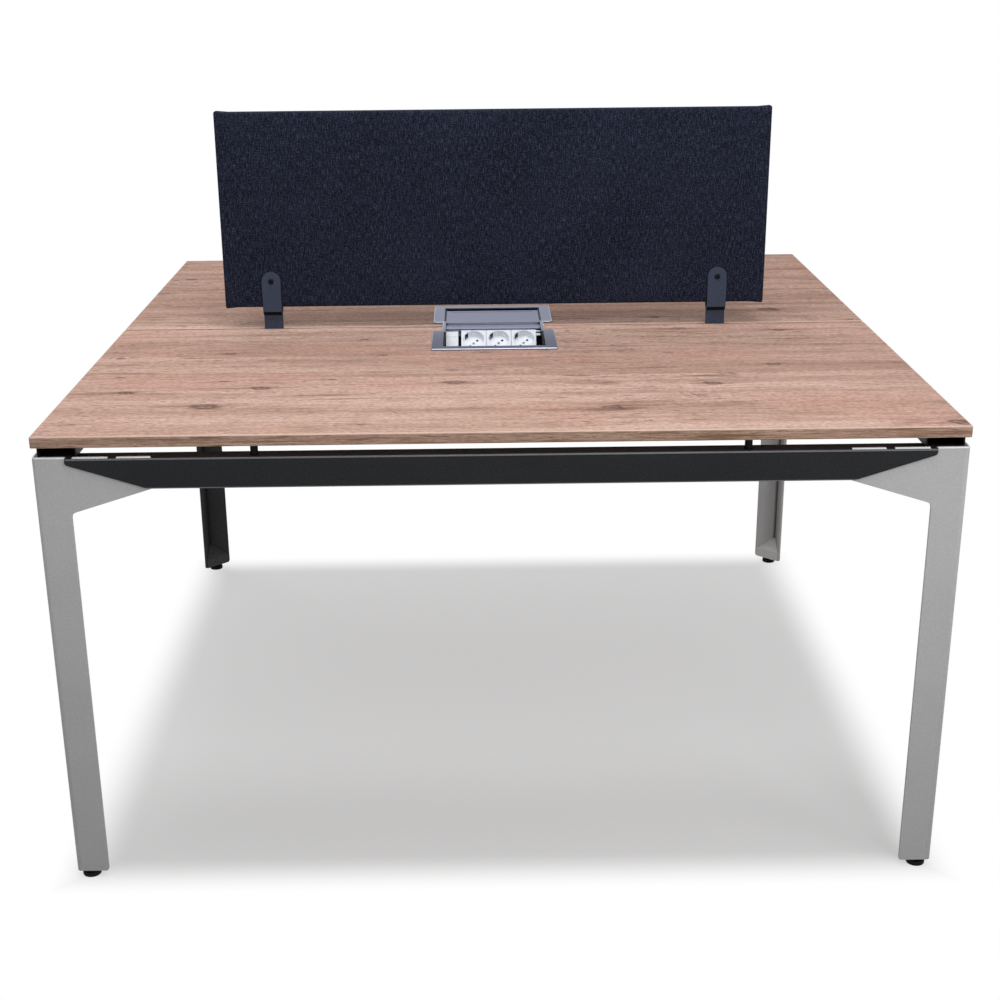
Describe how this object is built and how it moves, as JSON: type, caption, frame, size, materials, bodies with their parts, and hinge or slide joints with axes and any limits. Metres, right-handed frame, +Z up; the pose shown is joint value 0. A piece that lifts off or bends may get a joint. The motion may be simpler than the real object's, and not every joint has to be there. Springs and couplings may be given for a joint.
{
  "type": "benching desk",
  "caption": "Back-to-back benching desk: paired wood-look worktops on a bent-sheet steel frame, with a cloth screen and a lidded power box over the split.",
  "frame": {"origin": "on the floor under the middle of the split between the worktops", "axes": "+Z up, +X along the split to the front user's right, -Y towards the front user"},
  "size_m": [1.402, 1.41, 1.153],
  "materials": {
    "oak_board": "melamine board with a light pinkish-brown oak grain along the width",
    "light_grey_paint": "fine-textured light grey powder coat",
    "dark_grey_paint": "fine-textured dark grey powder coat",
    "anthracite_paint": "fine-textured anthracite powder coat",
    "black_paint": "matt black powder coat",
    "slate_paint": "slate grey powder coat",
    "zinc_plate": "zinc-plated steel",
    "satin_aluminium": "satin anodised aluminium",
    "black_plastic": "matt black plastic",
    "white_plastic": "semi-gloss white plastic",
    "chipboard": "raw chipboard",
    "charcoal_cloth": "navy-charcoal woven cloth with slubs"
  },
  "bodies": {
    "desk": {"worktop_front": "oak_board", "worktop_rear": "oak_board", "leg_front_left": "light_grey_paint", "leg_front_right": "light_grey_paint", "leg_rear_left": "dark_grey_paint", "leg_rear_right": "light_grey_paint", "foot_gusset_front_left": "light_grey_paint", "foot_gusset_front_right": "light_grey_paint", "foot_gusset_rear_left": "dark_grey_paint", "foot_gusset_rear_right": "light_grey_paint", "beam_front": "anthracite_paint", "beam_rear": "anthracite_paint", "spacer_post_front_left": "black_plastic", "spacer_post_front_right": "black_plastic", "spacer_post_rear_left": "black_plastic", "spacer_post_rear_right": "black_plastic", "side_rail_left": "black_paint", "side_rail_right": "black_paint", "centre_beam": "anthracite_paint", "centre_hanger_left": "anthracite_paint", "centre_hanger_right": "anthracite_paint", "split_support_left": "anthracite_paint", "split_support_right": "anthracite_paint", "screen_cover": "charcoal_cloth", "screen_board": "chipboard", "screen_strap_front_left": "slate_paint", "screen_strap_front_right": "slate_paint", "screen_strap_rear_left": "slate_paint", "screen_strap_rear_right": "slate_paint", "strap_anchor_front_left": "slate_paint", "strap_anchor_front_right": "slate_paint", "strap_anchor_rear_left": "slate_paint", "strap_anchor_rear_right": "slate_paint", "screen_bolt_left": "black_paint", "screen_bolt_right": "black_paint", "clamp_bolt_left": "zinc_plate", "clamp_bolt_right": "zinc_plate", "power_bezel": "satin_aluminium", "lid_track_left": "black_plastic", "lid_track_right": "black_plastic", "power_tray": "black_paint", "module_carrier": "black_plastic", "mains_inlet": "black_plastic", "socket_front_1": "white_plastic", "socket_front_2": "white_plastic", "socket_front_3": "white_plastic", "data_module_front": "white_plastic", "socket_rear_1": "white_plastic", "socket_rear_2": "white_plastic", "socket_rear_3": "white_plastic", "data_module_rear": "white_plastic"},
    "front_lid": {"power_lid_front": "satin_aluminium"},
    "rear_lid": {"power_lid_rear": "satin_aluminium"},
    "foot_front_left": {"levelling_foot_front_left": "black_plastic"},
    "foot_front_right": {"levelling_foot_front_right": "black_plastic"},
    "foot_rear_left": {"levelling_foot_rear_left": "black_plastic"},
    "foot_rear_right": {"levelling_foot_rear_right": "black_plastic"}
  },
  "joints": [
    {"name": "front_lid_slide", "type": "slide", "parent": "desk", "child": "front_lid", "axis": [0, -1, 0], "range_m": [0, 0.14]},
    {"name": "rear_lid_slide", "type": "slide", "parent": "desk", "child": "rear_lid", "axis": [0, -1, 0], "range_m": [0, 0.105]},
    {"name": "foot_front_left_screw", "type": "slide", "parent": "desk", "child": "foot_front_left", "axis": [0, 0, -1], "range_m": [0, 0.015]},
    {"name": "foot_front_right_screw", "type": "slide", "parent": "desk", "child": "foot_front_right", "axis": [0, 0, -1], "range_m": [0, 0.015]},
    {"name": "foot_rear_left_screw", "type": "slide", "parent": "desk", "child": "foot_rear_left", "axis": [0, 0, -1], "range_m": [0, 0.015]},
    {"name": "foot_rear_right_screw", "type": "slide", "parent": "desk", "child": "foot_rear_right", "axis": [0, 0, -1], "range_m": [0, 0.015]}
  ]
}
